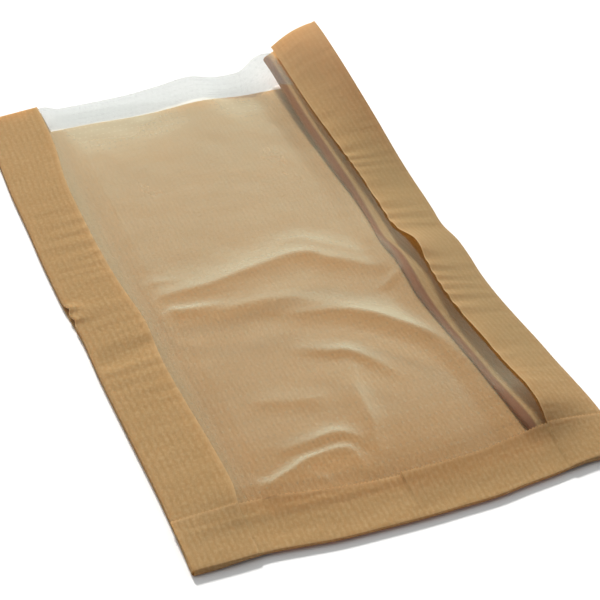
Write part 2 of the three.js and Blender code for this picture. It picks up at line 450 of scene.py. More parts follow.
@dataclass(frozen=True)
class Wrinkle:
    """A soft ridge in the film, often steeper on one side than on the other.

    Its crest follows a smooth line through a few (x, y) points. far is how wide it is to the left of the
    line's direction, near to its right. crest is how round its top is, and steps how finely the line is
    divided. blunt and fullness say how it tapers at its ends.
    """

    line: tuple[Point, ...]
    height: float
    far: float
    near: float
    crest: float = 0.7
    steps: int = 5
    blunt: float = 0.04
    fullness: float = 0.8

    @cached_property
    def path(self) -> list[Vector]:
        """The crest as short straight steps.

        Returns:
            The ends of the steps.
        """
        spots = [Vector((*point, 0.0)) for point in self.line]
        spots = [spots[0]] + spots + [spots[-1]]
        path: list[Vector] = []
        for before, start, end, after in zip(spots, spots[1:], spots[2:], spots[3:]):
            leave, arrive = start + (end - before) / 6, end - (after - start) / 6
            path += geometry.interpolate_bezier(start, leave, arrive, end, self.steps + 1)[:-1]
        return path + [spots[-1]]

    @cached_property
    def bounds(self) -> tuple[float, float, float, float]:
        """The box that the ridge stays in.

        Returns:
            Its least and greatest x, then its least and greatest y.
        """
        wide = max(self.far, self.near)
        xs, ys = [p.x for p in self.path], [p.y for p in self.path]
        return min(xs) - wide, max(xs) + wide, min(ys) - wide, max(ys) + wide

    def rise(self, x: float, y: float) -> float:
        """Height that the ridge adds at a place. It tapers at both ends of its line.

        Args:
            x: The place across the bag.
            y: The place along the bag.

        Returns:
            The height in millimetres, 0 beyond the ridge's foot.
        """
        low_x, high_x, low_y, high_y = self.bounds
        if not (low_x < x < high_x and low_y < y < high_y):
            return 0.0
        least, passed, leftward = math.inf, 0.0, 0.0
        for index, (start, end) in enumerate(zip(self.path, self.path[1:])):
            run_x, run_y = end.x - start.x, end.y - start.y
            off_x, off_y = x - start.x, y - start.y
            share = clamp((off_x * run_x + off_y * run_y) / (run_x**2 + run_y**2))
            gap = math.hypot(off_x - run_x * share, off_y - run_y * share)
            if gap < least:
                least, passed, leftward = gap, index + share, run_x * off_y - run_y * off_x
        reach = self.far if leftward > 0 else self.near
        gap = math.hypot(least, self.crest) - self.crest
        if gap >= reach:
            return 0.0
        passed = lerp(self.blunt, 1.0 - self.blunt, passed / (len(self.path) - 1))
        taper = math.sin(math.pi * passed) ** self.fullness
        return self.height * taper * (1.0 - gap / reach) ** 2


# The ridges of the window: the large one, the long arc below it, and the small ones round both.
WRINKLES: tuple[Wrinkle, ...] = (
    Wrinkle(
        ((-84, -10), (-64, -10), (-47, -10), (-34, -10), (-14, -6), (6, -2), (16, -1), (23, -3), (28, -8),
         (37, -14), (47, -21), (58, -28)),
        2.7, 26.0, 18.0,
    ),
    Wrinkle(((-82, 0), (-70, 3), (-60, 3), (-48, -1)), 0.5, 7.0, 7.0),
    Wrinkle(((6, 12), (22, 12), (32, 4), (44, -5), (58, -15)), 0.45, 15.0, 12.0),
    Wrinkle(((-82, -10), (-68, -19), (-57, -24), (-46, -26), (-34, -27)), 1.1, 6.5, 6.0),
    Wrinkle(
        ((-76, -20), (-57, -27), (-40, -31), (-20, -31), (-7, -32), (3, -35), (13, -43)),
        1.9, 40.0, 18.0,
    ),
    Wrinkle(
        ((-6, -44), (5, -47), (17, -50), (26, -55), (34, -61), (41, -69), (48, -77), (55, -88), (59, -104),
         (63, -122), (63, -148)),
        2.9, 20.0, 13.0,
    ),
    Wrinkle(
        ((-14, -70), (-3, -75), (3, -78), (9, -80), (15, -86), (20, -93), (24, -102)),
        1.4, 11.0, 7.0,
    ),
    Wrinkle(
        ((8, -84), (5, -96), (2, -106), (1, -117), (0, -129), (-3, -138), (-4, -148)),
        1.6, 10.0, 13.0,
    ),
    Wrinkle(((-78, -147), (-70, -144), (-64, -147), (-59, -151)), 2.4, 6.0, 5.0),
    Wrinkle(
        ((-80, -160), (-70, -156), (-60, -152), (-53, -149), (-45, -146), (-38, -143), (-31, -142),
         (-24, -141), (-17, -142), (-15, -148), (-13, -156)),
        2.6, 7.0, 9.0,
    ),
    Wrinkle(((-41, -148), (-35, -152), (-31, -157), (-27, -164)), 1.2, 4.5, 5.0),
    Wrinkle(
        ((-46, -133), (-36, -133), (-29, -133), (-23, -132), (-17, -132), (-12, -135), (-8, -141)),
        1.9, 9.0, 7.0,
    ),
    Wrinkle(((45, -40), (52, -37), (60, -32), (69, -26)), 0.9, 5.0, 5.0),
    Wrinkle(((-48, -97), (-30, -104), (-12, -107)), 0.7, 14.0, 11.0),
    Wrinkle(((-10, -146), (-6, -156), (-4, -166)), 0.5, 5.0, 5.0),
    Wrinkle(((64, 7), (70, 3), (78, 1)), 0.8, 4.0, 4.0),
)


@dataclass(frozen=True)
class FilmForm:
    """How the film lies between the two borders.

    It stays low beside the folded-up band, rises to its level, and drops to both borders. at_mouth is how it
    moves up or down along its cut edge, as (x, rise).
    """

    bag: BagForm
    level: float = 6.0
    swell: float = 2.0
    left_drop: float = 9.0
    right_drop: float = 18.0
    held: float = 2.0
    below: float = 0.85
    flat_length: float = 16.0
    rises_over: float = 45.0
    ridges_start: float = 25.0
    ridges_ramp: float = 9.0
    swell_width: float = 95.0
    mouth_start: float = 120.0
    at_mouth: tuple[Point, ...] = (
        (-80, -3.4), (-66, -4.4), (-19, -4.7), (2, -2.7), (22, 0.0), (39, -3.2), (58, -2.0), (66, -1.0),
    )

    def height(self, x: float, y: float, left: Folds, right: Folds, wrinkled: bool = True) -> float:
        """Height of the film at a place between the borders' inner edges.

        Args:
            x: The place across the bag.
            y: The place along the bag.
            left: The left folds there.
            right: The right folds there.
            wrinkled: Whether the ridges are on it.

        Returns:
            The height in millimetres.
        """
        at_left = self.bag.border_point(left, 0.0, -self.below).y
        at_right = self.bag.border_point(right, 0.0, -self.below).y
        from_bottom = y - self.bag.bottom
        swell = self.swell * bell(x / self.swell_width)
        mouth = along(self.at_mouth, x) * smooth((y - self.mouth_start) / (self.bag.mouth - self.mouth_start))
        ripple = 0.18 * wander(x / 16.0, y / 13.0, 3.1) + 0.5 * wander(x / 60.0, y / 50.0, 7.7)
        free = smooth((from_bottom - self.flat_length) / self.rises_over)
        level = lerp(at_left, self.level + swell + mouth + ripple, free)
        if wrinkled:
            fade = self.bag.freedom(y) * smooth((from_bottom - self.ridges_start) / self.ridges_ramp)
            level += fade * sum(wrinkle.rise(x, y) for wrinkle in WRINKLES)
        from_left = smooth((x + left.inner.x - self.held) / self.left_drop)
        from_right = smooth((right.inner.x - self.held - x) / self.right_drop)
        return lerp(at_left, lerp(at_right, level, from_right), from_left)


# ---- Finishes ----


class Shader:
    """A node tree being filled, with short ways to add and link nodes."""

    def __init__(self, tree: bpy.types.NodeTree) -> None:
        """Keeps the tree that nodes are added to."""
        self.tree = tree

    def node(self, kind: str, **values: object) -> bpy.types.Node:
        """Adds a node.

        Args:
            kind: Blender's name of the node type.
            **values: Its properties, or its inputs by position as in_0, in_1 and so on.

        Returns:
            The node.
        """
        made = self.tree.nodes.new(kind)
        for name, value in values.items():
            if name.startswith("in_"):
                self.feed(made.inputs[int(name[3:])], value)
            else:
                setattr(made, name, value)
        return made

    def feed(self, socket: bpy.types.NodeSocket, value: object) -> None:
        """Links an output to a socket, or sets the socket's own value.

        Args:
            socket: The socket.
            value: The output, or the value.
        """
        if isinstance(value, bpy.types.NodeSocket):
            self.tree.links.new(value, socket)
        else:
            socket.default_value = value

    def math(self, operation: str, *values: object, clip: bool = False) -> bpy.types.NodeSocket:
        """Adds a Math node.

        Args:
            operation: Blender's name of the operation.
            *values: The inputs, each a number or an output.
            clip: Whether the result is kept between 0 and 1.

        Returns:
            Its output.
        """
        made = self.node("ShaderNodeMath", operation=operation, use_clamp=clip)
        for socket, value in zip(made.inputs, values):
            self.feed(socket, value)
        return made.outputs[0]

    def ramp(
        self, value: object, low: float, high: float, to_low: float = 0.0, to_high: float = 1.0
    ) -> bpy.types.NodeSocket:
        """Maps a range of a value smoothly to another.

        Args:
            value: The value.
            low: The end of its range that becomes to_low.
            high: The end of its range that becomes to_high.
            to_low: The result at low.
            to_high: The result at high.

        Returns:
            The result.
        """
        made = self.node("ShaderNodeMapRange", interpolation_type="SMOOTHSTEP")
        for socket, given in zip(made.inputs, (value, low, high, to_low, to_high)):
            self.feed(socket, given)
        return made.outputs[0]

    def mix(self, share: object, first: object, second: object) -> bpy.types.NodeSocket:
        """Mixes two colours.

        Args:
            share: How much of the second colour is in the mix.
            first: A colour as an output or as red, green and blue.
            second: The other colour.

        Returns:
            The mixed colour.
        """
        made = self.node("ShaderNodeMix", data_type="RGBA")
        self.feed(made.inputs["Factor"], share)
        for index, colour in ((6, first), (7, second)):
            self.feed(made.inputs[index], (*colour, 1) if isinstance(colour, tuple) else colour)
        return made.outputs[2]

    def noise(self, vector: object, scale: float, detail: float, roughness: float) -> bpy.types.NodeSocket:
        """Adds a noise texture.

        Args:
            vector: The coordinate.
            scale: How many features it has in a metre.
            detail: How many finer layers it has.
            roughness: How strong they are.

        Returns:
            Its value.
        """
        made = self.node("ShaderNodeTexNoise")
        self.feed(made.inputs["Vector"], vector)
        made.inputs["Scale"].default_value = scale
        made.inputs["Detail"].default_value = detail
        made.inputs["Roughness"].default_value = roughness
        return made.outputs["Fac"]

    def stretched(self, vector: object, across: float, lengthwise: float) -> bpy.types.NodeSocket:
        """Scales a coordinate differently across and along the web.

        Args:
            vector: The coordinate.
            across: The factor across the web.
            lengthwise: The factor along it.

        Returns:
            The scaled coordinate.
        """
        made = self.node("ShaderNodeVectorMath", operation="MULTIPLY")
        self.feed(made.inputs[0], vector)
        made.inputs[1].default_value = (across, lengthwise, 1.0)
        return made.outputs[0]


def group(
    name: str, inputs: dict[str, tuple[str, object]], outputs: dict[str, str]
) -> tuple[bpy.types.NodeTree, Shader, bpy.types.Node, bpy.types.Node]:
    """Starts a shader node group with named sockets.

    Args:
        name: The group's name.
        inputs: Socket name to its type and default value.
        outputs: Socket name to its type.

    Returns:
        The group, a Shader that fills it, its input node and its output node.
    """
    tree = bpy.data.node_groups.new(name, "ShaderNodeTree")
    for label, (kind, value) in inputs.items():
        made = tree.interface.new_socket(name=label, in_out="INPUT", socket_type=kind)
        made.default_value = value
    for label, kind in outputs.items():
        tree.interface.new_socket(name=label, in_out="OUTPUT", socket_type=kind)
    shader = Shader(tree)
    return tree, shader, shader.node("NodeGroupInput"), shader.node("NodeGroupOutput")


FLOAT = "NodeSocketFloat"
VECTOR = "NodeSocketVector"


def rib_group() -> bpy.types.NodeTree:
    """Fine parallel ribs rolled into kraft paper, from a phase that counts them across the web.

    Returns:
        A group with Line, a mask that is 1 on each thin line, and Height, the ribs' relief.
    """
    tree, shader, given, result = group(
        "paper_ribs",
        {"Phase": (FLOAT, 0.0), "Uneven": (FLOAT, 0.0), "Sharpness": (FLOAT, 2.0)},
        {"Line": FLOAT, "Height": FLOAT},
    )
    turned = shader.math("MULTIPLY", given.outputs["Phase"], 2 * math.pi)
    wave = shader.math("MULTIPLY_ADD", shader.math("COSINE", turned), 0.5, 0.5)
    line = shader.math("POWER", wave, given.outputs["Sharpness"])
    broken = shader.math("MULTIPLY_ADD", given.outputs["Uneven"], 0.9, 0.45)
    shader.feed(result.inputs["Line"], shader.math("MULTIPLY", line, broken, clip=True))
    shader.feed(result.inputs["Height"], shader.math("MULTIPLY", wave, broken))
    return tree


def fibre_group() -> bpy.types.NodeTree:
    """Cloudy tone and short fibres of unbleached paper.

    Returns:
        A group with Cloud, a soft tone, Mottle, small uneven spots, Fleck, fine fibres, and Height, their
        relief.
    """
    tree, shader, given, result = group(
        "paper_fibres",
        {"Vector": (VECTOR, (0.0, 0.0, 0.0))},
        {"Cloud": FLOAT, "Mottle": FLOAT, "Fleck": FLOAT, "Height": FLOAT},
    )
    place = given.outputs["Vector"]
    mottle = shader.noise(shader.stretched(place, 1.0, 0.7), 700.0, 4.0, 0.75)
    shader.feed(result.inputs["Mottle"], mottle)
    cloud = shader.noise(place, 38.0, 3.0, 0.6)
    fine = shader.noise(shader.stretched(place, 1.0, 0.45), 900.0, 3.0, 0.65)
    shader.feed(result.inputs["Cloud"], cloud)
    shader.feed(result.inputs["Fleck"], fine)
    shader.feed(result.inputs["Height"], fine)
    return tree


def crinkle_group() -> bpy.types.NodeTree:
    """Small creases that run across the web.

    Returns:
        A group with Height, their relief, and Shade, painted light on the crests of the wider ones.
    """
    tree, shader, given, result = group(
        "cross_crinkles",
        {"Vector": (VECTOR, (0.0, 0.0, 0.0))},
        {"Height": FLOAT, "Shade": FLOAT},
    )
    place = given.outputs["Vector"]
    wide = shader.noise(shader.stretched(place, 0.22, 1.0), 150.0, 2.0, 0.5)
    fine = shader.noise(shader.stretched(place, 0.30, 1.0), 420.0, 2.0, 0.5)
    height = shader.math("MULTIPLY_ADD", fine, 0.35, wide)
    shader.feed(result.inputs["Height"], height)
    # painted light along the crests of the wide creases
    shader.feed(result.inputs["Shade"], shader.ramp(wide, 0.35, 0.7))
    return tree


def perforation_group() -> bpy.types.NodeTree:
    """Tiny needle holes in staggered rows.

    Returns:
        A group with Hole, a soft mask that is 1 in the middle of each hole.
    """
    tree, shader, given, result = group(
        "needle_holes",
        {"Vector": (VECTOR, (0.0, 0.0, 0.0)), "Across": (FLOAT, 0.0034), "Lengthwise": (FLOAT, 0.00595)},
        {"Hole": FLOAT},
    )
    parts = shader.node("ShaderNodeSeparateXYZ", in_0=given.outputs["Vector"])
    width, pitch = given.outputs["Across"], given.outputs["Lengthwise"]
    row = shader.math("DIVIDE", parts.outputs[1], pitch)
    odd = shader.math("MULTIPLY", shader.math("FLOORED_MODULO", shader.math("FLOOR", row), 2.0), 0.5)
    column = shader.math("ADD", shader.math("DIVIDE", parts.outputs[0], width), odd)

    def off_squared(count: bpy.types.NodeSocket, size: bpy.types.NodeSocket) -> bpy.types.NodeSocket:
        """The square of a place's distance from the middle of its own cell."""
        off = shader.math("SUBTRACT", shader.math("FRACT", count), 0.5)
        return shader.math("POWER", shader.math("MULTIPLY", off, size), 2.0)

    far = shader.math("SQRT", shader.math("ADD", off_squared(column, width), off_squared(row, pitch)))
    shader.feed(result.inputs["Hole"], shader.ramp(far, 0.0009, 0.0003))
    return tree


class Effects:
    """The shader node groups, each built once."""

    ribs = rib_group()
    fibres = fibre_group()
    crinkles = crinkle_group()
    perforations = perforation_group()


@dataclass(frozen=True)
class KraftFinish:
    """Matt ribbed brown kraft paper, for the whole web, with some light and shade painted into its colour."""

    colour: tuple[float, float, float] = (0.53, 0.395, 0.185)
    light: tuple[float, float, float] = (0.70, 0.56, 0.31)
    dark: tuple[float, float, float] = (0.38, 0.26, 0.105)
    ruddy: tuple[float, float, float] = (0.52, 0.33, 0.13)
    # Painted shade colour for the right border beside the window.
    right_border_shade: tuple[float, float, float] = (0.37, 0.32, 0.16)
    # Painted shade colour for the right gusset's inner fold.
    painted_fold_shade: tuple[float, float, float] = (0.25, 0.105, 0.07)
    lit_through: tuple[float, float, float] = (0.93, 0.62, 0.29)
    share_through: float = 0.5
    # How strongly each tone shows where it is fullest.
    cloudy: float = 0.22
    flecked: float = 0.3
    mottled: float = 0.5
    speckled: float = 0.45
    # From here on, the shares of painted shade and painted light on the right border, the crinkles, the cut
    # edges and the gusset's fold.
    right_border_shade_share: float = 0.45
    top_light_share: float = 0.6
    crinkle_light: float = 0.08
    edge_highlight: float = 0.75
    fold_shade_share: float = 0.85
    rib_tone: float = 0.34
    rib_depth: float = 0.00009
    fibre_depth: float = 0.00003
    crinkle_depth: float = 0.0003
    roughness: float = 0.62

    def build(self) -> bpy.types.Material:
        """Makes the material.

        Returns:
            The material.
        """
        material = bpy.data.materials.new("ribbed_kraft")
        material.use_nodes = True
        material.node_tree.nodes.clear()
        s = Shader(material.node_tree)
        web = s.node("ShaderNodeUVMap", uv_map="web").outputs[0]
        phase = s.node("ShaderNodeAttribute", attribute_name="rib").outputs["Fac"]
        edge = s.node("ShaderNodeAttribute", attribute_name="edge_mask").outputs["Fac"]
        shade = s.node("ShaderNodeAttribute", attribute_name="shade").outputs["Fac"]
        fibres = s.node("ShaderNodeGroup", node_tree=Effects.fibres, in_0=web)
        crinkles = s.node("ShaderNodeGroup", node_tree=Effects.crinkles, in_0=web)
        cloud, mottle, fleck = (fibres.outputs[name] for name in ("Cloud", "Mottle", "Fleck"))
        ribs = s.node("ShaderNodeGroup", node_tree=Effects.ribs, in_0=phase, in_1=cloud)
        place = s.node("ShaderNodeSeparateXYZ", in_0=s.node("ShaderNodeTexCoord").outputs["Object"])
        x, y = place.outputs[0], place.outputs[1]

        tone = s.mix(s.ramp(cloud, 0.3, 0.72, 0.0, self.cloudy), self.colour, self.light)
        tone = s.mix(s.ramp(fleck, 0.52, 0.75, 0.0, self.flecked), tone, self.dark)
        tone = s.mix(s.ramp(mottle, 0.45, 0.60, 0.0, self.mottled), tone, self.ruddy)
        tone = s.mix(s.ramp(mottle, 0.52, 0.40, 0.0, self.speckled), tone, self.light)
        tone = s.mix(s.math("MULTIPLY", ribs.outputs["Line"], self.rib_tone), tone, self.dark)
        # painted shade: the right border beside the window is darkened towards olive to take off light that
        # its tilt catches from the lamps
        beside_window = s.math("MULTIPLY", s.ramp(y, 0.12, 0.05), s.ramp(y, -0.16, -0.09))
        right_border_shade = s.math("MULTIPLY", s.ramp(x, 0.05, 0.09, 0.0, self.right_border_shade_share), beside_window)
        tone = s.mix(right_border_shade, tone, self.right_border_shade)
        # painted light: the top of the right border is lightened where its rise towards the mouth turns it
        # away from the lamp
        painted_top_light = s.math("MULTIPLY", s.ramp(x, 0.05, 0.09, 0.0, self.top_light_share), s.ramp(y, 0.07, 0.17))
        tone = s.mix(painted_top_light, tone, self.light)
        # painted light: lighter along the crests of the cross crinkles
        tone = s.mix(s.math("MULTIPLY", crinkles.outputs["Shade"], self.crinkle_light), tone, self.light)
        # painted highlight: the cut edges are lightened where they catch the light
        tone = s.mix(s.math("MULTIPLY", edge, self.edge_highlight), tone, self.light)
        # painted shade: the right gusset's turned fold and the plies beside it are darkened where the fold
        # lies in shade
        tone = s.mix(s.ramp(shade, 0.4, 0.75, 0.0, self.fold_shade_share), tone, self.painted_fold_shade)

        bump = s.node("ShaderNodeBump")
        bump.inputs["Distance"].default_value = 1.0
        height = s.math("MULTIPLY", ribs.outputs["Height"], self.rib_depth)
        height = s.math("MULTIPLY_ADD", fibres.outputs["Height"], self.fibre_depth, height)
        height = s.math("MULTIPLY_ADD", crinkles.outputs["Height"], self.crinkle_depth, height)
        s.feed(bump.inputs["Height"], height)

        skin = s.node("ShaderNodeBsdfPrincipled")
        s.feed(skin.inputs["Base Color"], tone)
        smoothest, roughest = self.roughness - 0.07, self.roughness + 0.1
        s.feed(skin.inputs["Roughness"], s.ramp(fleck, 0.3, 0.7, smoothest, roughest))
        s.feed(skin.inputs["Normal"], bump.outputs[0])
        skin.inputs["Specular IOR Level"].default_value = 0.35
        skin.inputs["Sheen Weight"].default_value = 0.05
        through = s.node("ShaderNodeBsdfTranslucent", in_0=(*self.lit_through, 1))
        both = s.node("ShaderNodeMixShader", in_0=self.share_through)
        s.feed(both.inputs[1], skin.outputs[0])
        s.feed(both.inputs[2], through.outputs[0])
        out = s.node("ShaderNodeOutputMaterial")
        s.feed(out.inputs["Surface"], both.outputs[0])
        return material


@dataclass(frozen=True)
class FilmFinish:
    """Thin clear film that mirrors the room faintly, more so where it is seen at a flat angle.

    head_on is how much it hides seen straight on, grazing what a flat angle adds, and densest the most. At
    the mouth it has an even grey haze, which also paints shade onto the table seen through it. It hides
    little beside the right border, and its shadow is faint.
    """

    tint: tuple[float, float, float] = (0.95, 0.94, 0.71)
    lip_haze_and_shade_tint: tuple[float, float, float] = (0.45, 0.49, 0.45)
    lip_haze_and_shade: float = 0.24
    head_on: float = 0.03
    grazing: float = 1.6
    falloff: float = 3.0
    densest: float = 0.55
    hole_haze: float = 0.05
    shadow_share: float = 0.3
    calmed: float = 0.65
    lip_evenness: float = 0.85
    smeared: float = 0.02
    roughness: float = 0.3
    ripple_depth: float = 0.00006

    def build(self) -> bpy.types.Material:
        """Makes the material.

        Returns:
            The material.
        """
        material = bpy.data.materials.new("clear_film")
        material.use_nodes = True
        material.node_tree.nodes.clear()
        s = Shader(material.node_tree)
        web = s.node("ShaderNodeUVMap", uv_map="web").outputs[0]
        holes = s.node("ShaderNodeGroup", node_tree=Effects.perforations, in_0=web)
        ripple = s.noise(web, 90.0, 2.0, 0.5)
        smear = s.noise(s.stretched(web, 1.0, 0.6), 30.0, 3.0, 0.6)

        bump = s.node("ShaderNodeBump")
        bump.inputs["Distance"].default_value = 1.0
        s.feed(bump.inputs["Height"], s.math("MULTIPLY", ripple, self.ripple_depth))

        facing = s.node("ShaderNodeLayerWeight")
        facing.inputs["Blend"].default_value = 0.5
        s.feed(facing.inputs["Normal"], bump.outputs[0])
        lip = s.node("ShaderNodeAttribute", attribute_name="edge_mask").outputs["Fac"]
        shade = s.node("ShaderNodeAttribute", attribute_name="shade").outputs["Fac"]
        shadow = s.node("ShaderNodeLightPath").outputs["Is Shadow Ray"]
        grazing = s.math("POWER", facing.outputs["Facing"], self.falloff)
        veil = s.math("MULTIPLY_ADD", grazing, self.grazing, self.head_on)
        veil = s.math("MINIMUM", veil, self.densest)
        veil = s.math("MULTIPLY", veil, s.math("MULTIPLY_ADD", lip, -self.lip_evenness, 1.0))
        # the lip's even grey haze is partly the film's own haze and partly painted shade on the table seen
        # through it
        haze = s.math("MULTIPLY_ADD", lip, self.lip_haze_and_shade, s.ramp(smear, 0.35, 0.75, 0.0, self.smeared))
        haze = s.math("MULTIPLY_ADD", holes.outputs["Hole"], self.hole_haze, haze)
        solid = s.math("ADD", veil, haze, clip=True)
        calm = s.math("MULTIPLY", shade, s.math("SUBTRACT", 1.0, lip))
        solid = s.math("MULTIPLY", solid, s.math("MULTIPLY_ADD", calm, -self.calmed, 1.0))
        solid = s.math("MULTIPLY", solid, s.math("MULTIPLY_ADD", shadow, self.shadow_share - 1.0, 1.0))

        skin = s.node("ShaderNodeBsdfPrincipled")
        s.feed(skin.inputs["Base Color"], s.mix(lip, self.tint, self.lip_haze_and_shade_tint))
        skin.inputs["Metallic"].default_value = 1.0
        smoothest, roughest = self.roughness - 0.03, self.roughness + 0.08
        s.feed(skin.inputs["Roughness"], s.ramp(smear, 0.3, 0.8, smoothest, roughest))
        s.feed(skin.inputs["Alpha"], solid)
        s.feed(skin.inputs["Normal"], bump.outputs[0])
        out = s.node("ShaderNodeOutputMaterial")
        s.feed(out.inputs["Surface"], skin.outputs[0])
        return material


# ---- Sheets ----


@dataclass(frozen=True)
class Column:
    """One line of vertices along the web: its strip, its share of the way over it and its distance across."""

    panel: Panel
    share: float
    across: float
    side: Side = Side.LEFT


@dataclass(frozen=True)
class Spot:
    """What one vertex of a sheet carries: its place in millimetres and its marks on the flat web."""

    place: Vector
    flat: Point
    rib: float = 0.0
    edge_mask: float = 0.0
    shade: float = 0.0


class SheetMesh:
    """One or more grids that are bent into a sheet and given its thickness."""

    def __init__(self, name: str) -> None:
        """Starts an empty mesh with the layers that every grid fills."""
        self.name = name
        self.mesh = bmesh.new()
        self.rib = self.mesh.verts.layers.float.new("rib")
        self.edge_mask = self.mesh.verts.layers.float.new("edge_mask")
        self.shade = self.mesh.verts.layers.float.new("shade")
        self.web = self.mesh.loops.layers.uv.new("web")

    def lay(self, spots: list[list[Spot]]) -> None:
        """Adds a grid and bends it.

        Args:
            spots: What each vertex carries, row by row.
        """
        rows, columns = len(spots), len(spots[0])
        made = bmesh.ops.create_grid(self.mesh, x_segments=columns - 1, y_segments=rows - 1, size=1.0)
        flat = {}
        for vertex in made["verts"]:
            column = round((vertex.co.x + 1.0) * (columns - 1) / 2)
            row = round((vertex.co.y + 1.0) * (rows - 1) / 2)
            spot = spots[row][column]
            vertex.co = spot.place * MM
            vertex[self.rib] = spot.rib
            vertex[self.edge_mask] = spot.edge_mask
            vertex[self.shade] = spot.shade
            flat[vertex] = spot.flat
        for face in {f for v in made["verts"] for f in v.link_faces}:
            for corner in face.loops:
                u, v = flat[corner.vert]
                corner[self.web].uv = (u * MM, v * MM)

    def finish(self, thickness: float, material: bpy.types.Material) -> bpy.types.Object:
        """Thickens the sheet and makes it an object.

        Args:
            thickness: In millimetres.
            material: The finish of the whole piece.

        Returns:
            The object.
        """
        bmesh.ops.solidify(self.mesh, geom=self.mesh.faces, thickness=thickness * MM)
        for face in self.mesh.faces:
            face.smooth = True
        for edge in self.mesh.edges:
            if len(edge.link_faces) == 2 and edge.calc_face_angle(0.0) > SHARP_ANGLE:
                edge.smooth = False
        data = bpy.data.meshes.new(self.name)
        self.mesh.to_mesh(data)
        self.mesh.free()
        piece = bpy.data.objects.new(self.name, data)
        bpy.context.scene.collection.objects.link(piece)
        data.materials.append(material)
        log.info("%s: %d vertices, %d faces", self.name, len(data.vertices), len(data.polygons))
        return piece


@dataclass
class PaperWeb:
    """The back panel, both side gussets and the two front borders, as one bent sheet.

    known keeps the folds that are worked out, by their place along the bag.
    """

    bag: BagForm
    border_steps: int = 20
    fold_steps: int = 4
    loop_steps: int = 12
    ply_steps: int = 8
    back_steps: int = 44
    row_length: float = 1.6
    rib_pitch: float = 2.45
    border_rib_pitch: float = 3.0
    known: dict[float, tuple[Folds, Folds]] = field(default_factory=dict)

    @property
    def rows(self) -> int:
        """How many rows of faces the web has along the bag."""
        return round((self.bag.mouth - self.bag.turn_start) / self.row_length)

    def side_columns(self, side: Side) -> list[Column]:
        """Divides the plies of one side.

        Args:
            side: Which side of the bag.

        Returns:
            The columns from its border's inner edge round to the back panel.
        """
        steps = {
            Panel.BORDER: (self.border_steps, self.bag.border_width),
            Panel.FRONT_FOLD: (self.fold_steps, math.pi * self.bag.radius),
            Panel.FRONT_PLY: (self.ply_steps, self.bag.gusset_depth),
            Panel.INNER_FOLD: (self.loop_steps, math.pi * self.bag.radius),
            Panel.BACK_PLY: (self.ply_steps, self.bag.gusset_depth),
            Panel.BACK_FOLD: (self.fold_steps, math.pi * self.bag.radius),
        }
        columns: list[Column] = []
        passed = 0.0
        for panel, (count, size) in steps.items():
            first = 0 if panel is Panel.BORDER else 1
            shares = [i / count for i in range(first, count + 1)]
            columns += [Column(panel, share, passed + size * share, side) for share in shares]
            passed += size
        return columns

    def columns(self) -> list[Column]:
        """Divides the whole web.

        Returns:
            The columns from the left border's inner edge to the right one's.
        """
        left = self.side_columns(Side.LEFT)
        right = self.side_columns(Side.RIGHT)
        side_width = left[-1].across
        total = 2 * side_width + self.bag.width
        shares = [i / self.back_steps for i in range(1, self.back_steps)]
        back = [Column(Panel.BACK, share, side_width + self.bag.width * share) for share in shares]
        mirrored = [Column(c.panel, c.share, total - c.across, c.side) for c in reversed(right)]
        return left + back + mirrored

    def cut_back(self, column: Column) -> float:
        """How far the mouth's cut lies below the borders' edge.

        Args:
            column: The column it is wanted on.

        Returns:
            The distance in millimetres.
        """
        if column.panel in (Panel.BACK, Panel.BACK_FOLD):
            return self.bag.lip
        return self.bag.lip * column.share if column.panel is Panel.BACK_PLY else 0.0

    def rib_phase(self, column: Column) -> float:
        """Counts the ribs across the web. They lie further apart on the borders.

        Args:
            column: The column they are counted up to.

        Returns:
            The count, with its fraction.
        """
        border = self.bag.border_width
        side_width = border + 2 * self.bag.gusset_depth + 3 * math.pi * self.bag.radius
        total = 2 * side_width + self.bag.width
        on_borders = min(column.across, border) + max(column.across - (total - border), 0.0)
        return on_borders / self.border_rib_pitch + (column.across - on_borders) / self.rib_pitch

    def spot(self, column: Column, share: float) -> Spot:
        """What one vertex of the web carries.

        Args:
            column: The vertex's column.
            share: How far it is from the bottom fold to the mouth's cut.

        Returns:
            Its place and marks.
        """
        bag = self.bag
        y = lerp(bag.turn_start, bag.mouth - self.cut_back(column), share)
        left, right = self.folds_at(y)
        if column.panel is Panel.BACK:
            start = -bag.section(left, Panel.BACK_FOLD, 1.0).x
            end = bag.section(right, Panel.BACK_FOLD, 1.0).x
            x = lerp(start, end, column.share)
            z = bag.back_height(x, y)
        else:
            folds = left if column.side is Side.LEFT else right
            point = bag.section(folds, column.panel, column.share)
            x, z = point.x * column.side.value, point.y
        place = Vector((x, y + bag.bow(x, y), z))
        cut_edge = share == 1.0 or (column.panel is Panel.BORDER and column.share == 0.0)
        # The right gusset's inner fold and its plies carry the mask of painted fold shade.
        at_fold = column.panel is Panel.FRONT_PLY and column.share == 1.0
        turned = at_fold or column.panel in (Panel.INNER_FOLD, Panel.BACK_PLY)
        shaded = turned and column.side is Side.RIGHT
        return Spot(place, (column.across, y), self.rib_phase(column), float(cut_edge), float(shaded))

    def folds_at(self, y: float) -> tuple[Folds, Folds]:
        """The left and the right folds at a place along the bag, kept once worked out.

        Args:
            y: The place along the bag.

        Returns:
            The left folds and the right ones.
        """
        key = round(y, 4)
        if key not in self.known:
            self.known[key] = (self.bag.folds(Side.LEFT, y), self.bag.folds(Side.RIGHT, y))
        return self.known[key]

    def build(self, sheet: SheetMesh) -> None:
        """Bends the web into its folds."""
        columns = self.columns()
        sheet.lay([[self.spot(c, row / self.rows) for c in columns] for row in range(self.rows + 1)])


